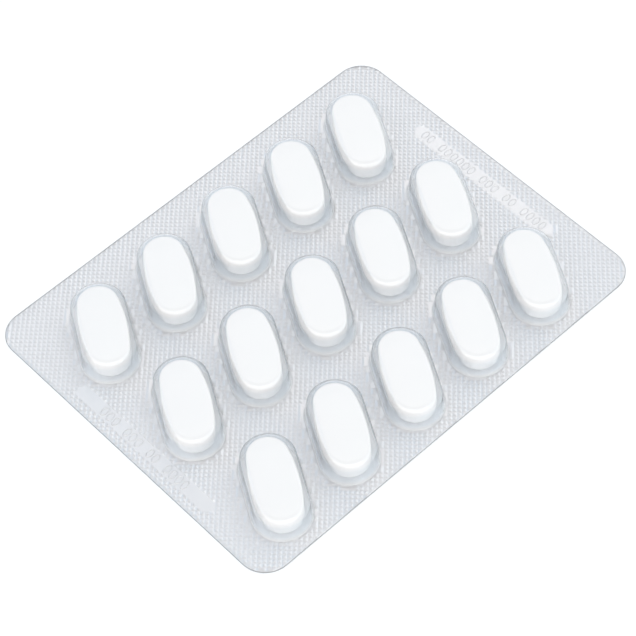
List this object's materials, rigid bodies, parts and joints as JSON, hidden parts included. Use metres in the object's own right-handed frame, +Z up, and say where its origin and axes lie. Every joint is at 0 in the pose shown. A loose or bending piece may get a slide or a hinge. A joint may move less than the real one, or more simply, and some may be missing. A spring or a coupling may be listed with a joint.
{
  "type": "pill blister pack",
  "caption": "Flat push-through blister pack: clear formed film with leaning oblong pockets that hold white tablets, sealed to an aluminium foil back.",
  "frame": {"origin": "middle of the foil's flat back, where the pack rests", "axes": "+X along the long side, +Y along the short side, +Z up from the foil to the pockets"},
  "size_m": [0.097, 0.076, 0.0053],
  "materials": {
    "clear_film": "clear glossy thermoformed film",
    "foil": "bright knurled lidding foil",
    "tablet_coat": "smooth white film coat, low sheen"
  },
  "bodies": {
    "root": {"blister_film": "clear_film", "lidding_foil": "foil", "tablet_01": "tablet_coat", "tablet_02": "tablet_coat", "tablet_03": "tablet_coat", "tablet_04": "tablet_coat", "tablet_05": "tablet_coat", "tablet_06": "tablet_coat", "tablet_07": "tablet_coat", "tablet_08": "tablet_coat", "tablet_09": "tablet_coat", "tablet_10": "tablet_coat", "tablet_11": "tablet_coat", "tablet_12": "tablet_coat", "tablet_13": "tablet_coat", "tablet_14": "tablet_coat", "tablet_15": "tablet_coat"}
  },
  "joints": []
}
